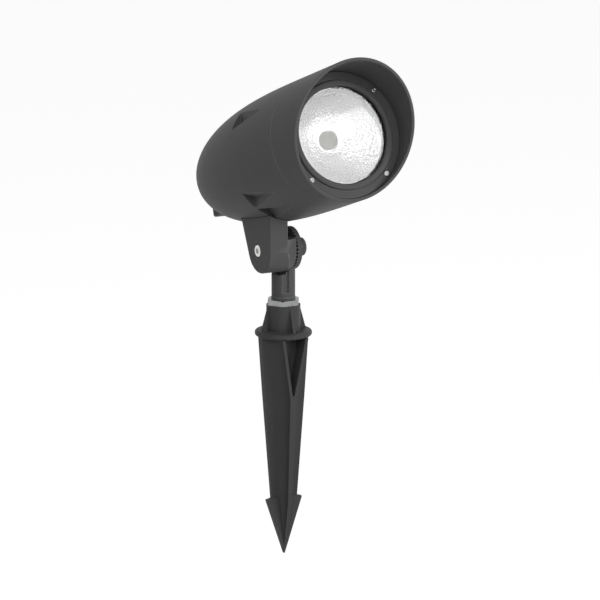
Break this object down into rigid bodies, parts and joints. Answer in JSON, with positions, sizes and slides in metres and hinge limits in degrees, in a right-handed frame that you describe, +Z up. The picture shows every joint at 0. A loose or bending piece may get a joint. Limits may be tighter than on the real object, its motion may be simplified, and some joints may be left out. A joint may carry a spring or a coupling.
{
  "type": "garden spike spotlight",
  "caption": "Bullet-shaped garden spotlight with a slanted hood on a toothed tilting bracket, a swivelling stem and a barbed ground spike.",
  "frame": {"origin": "on the spike's axis at the underside of the spike's flange, which rests on the ground", "axes": "+Z up, the lamp head faces -Y and its beam rises 18.2 degrees at rest, the hinge of the head runs along X"},
  "size_m": [0.111, 0.2581, 0.4477],
  "materials": {
    "coated_casting": "matt textured dark grey powder coat on die-cast aluminium",
    "spike_plastic": "fine-grained dark grey moulded plastic",
    "zinc_steel": "dull zinc-plated steel",
    "stainless_steel": "bright stainless steel",
    "black_rubber": "matt black silicone rubber",
    "clear_glass": "clear toughened glass",
    "bright_aluminium": "bright hammered anodised aluminium",
    "plain_aluminium": "plain machined aluminium",
    "white_plastic": "off-white moulded plastic",
    "phosphor_resin": "pale phosphor resin",
    "grey_silicone": "soft grey thermal pad",
    "circuit_board": "green circuit board",
    "wire_insulation": "silicone wire insulation"
  },
  "bodies": {
    "spike_body": {"ground_spike": "spike_plastic"},
    "stem_body": {"stem": "coated_casting", "lock_nut": "zinc_steel"},
    "head_body": {"tilt_bracket": "coated_casting", "bracket_seal": "black_rubber", "bracket_screws": "stainless_steel", "clamp_screw": "stainless_steel", "spring_washer": "stainless_steel", "clamp_cap_nut": "coated_casting", "rear_housing": "coated_casting", "front_hood": "coated_casting", "housing_gasket": "black_rubber", "housing_screws": "stainless_steel", "trim_ring": "coated_casting", "trim_screws": "stainless_steel", "lens_gasket": "black_rubber", "glass_lens": "clear_glass", "reflector": "bright_aluminium", "led_holder": "white_plastic", "holder_screws": "stainless_steel", "led_board": "plain_aluminium", "led_phosphor": "phosphor_resin", "thermal_pad": "grey_silicone", "heat_plate": "plain_aluminium", "plate_screws": "stainless_steel", "driver_tray": "zinc_steel", "tray_screws": "stainless_steel", "driver_case": "white_plastic", "driver_lid": "white_plastic", "driver_board": "circuit_board", "driver_screws": "stainless_steel", "terminal_block": "white_plastic", "terminal_screws": "stainless_steel", "led_leads": "wire_insulation", "cable_grommet": "black_rubber", "gland_nut": "spike_plastic"}
  },
  "joints": [
    {"name": "stem_swivel", "type": "hinge", "parent": "spike_body", "child": "stem_body", "pos_m": [0, 0, 0.02], "axis": [0, 0, 1], "range_deg": [-180, 180]},
    {"name": "head_tilt", "type": "hinge", "parent": "stem_body", "child": "head_body", "pos_m": [0, 0, 0.0754], "axis": [-1, 0, 0], "range_deg": [-50, 70]}
  ]
}
